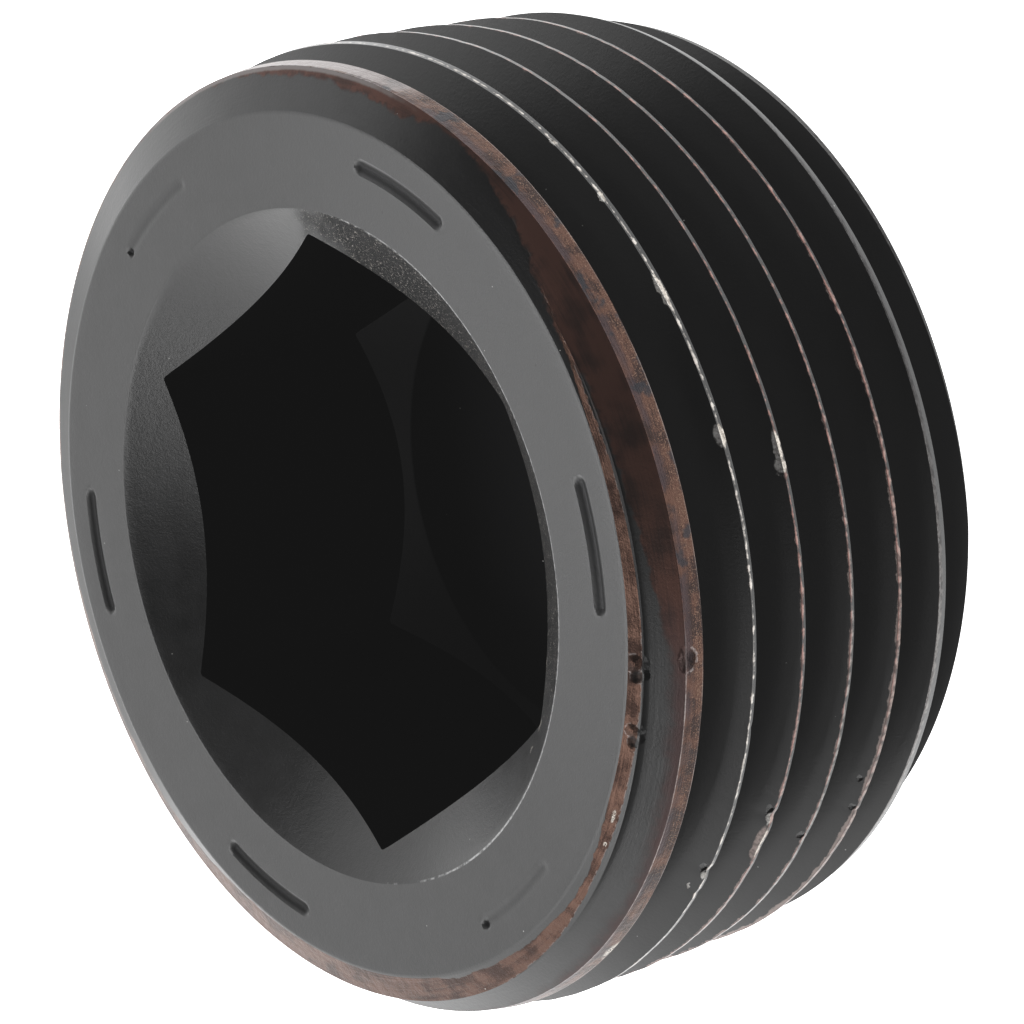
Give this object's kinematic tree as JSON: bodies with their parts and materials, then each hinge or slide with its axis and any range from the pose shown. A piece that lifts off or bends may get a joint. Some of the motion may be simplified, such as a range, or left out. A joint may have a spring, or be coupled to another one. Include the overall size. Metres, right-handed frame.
{
  "type": "hex socket pipe plug",
  "caption": "Hex socket pipe plug: a short tapered thread with a countersunk hexagonal socket in its large end, screwed in with a key to close a pipe port.",
  "frame": {"origin": "middle of the small end, the end that is screwed in first", "axes": "+Z along the plug's axis, out of the socket; +X and -X square to two flats of the socket"},
  "size_m": [0.0272, 0.0272, 0.0117],
  "materials": {
    "black_oxide_steel": "satin"
  },
  "bodies": {
    "root": {"plug_body": "black_oxide_steel"}
  },
  "joints": []
}
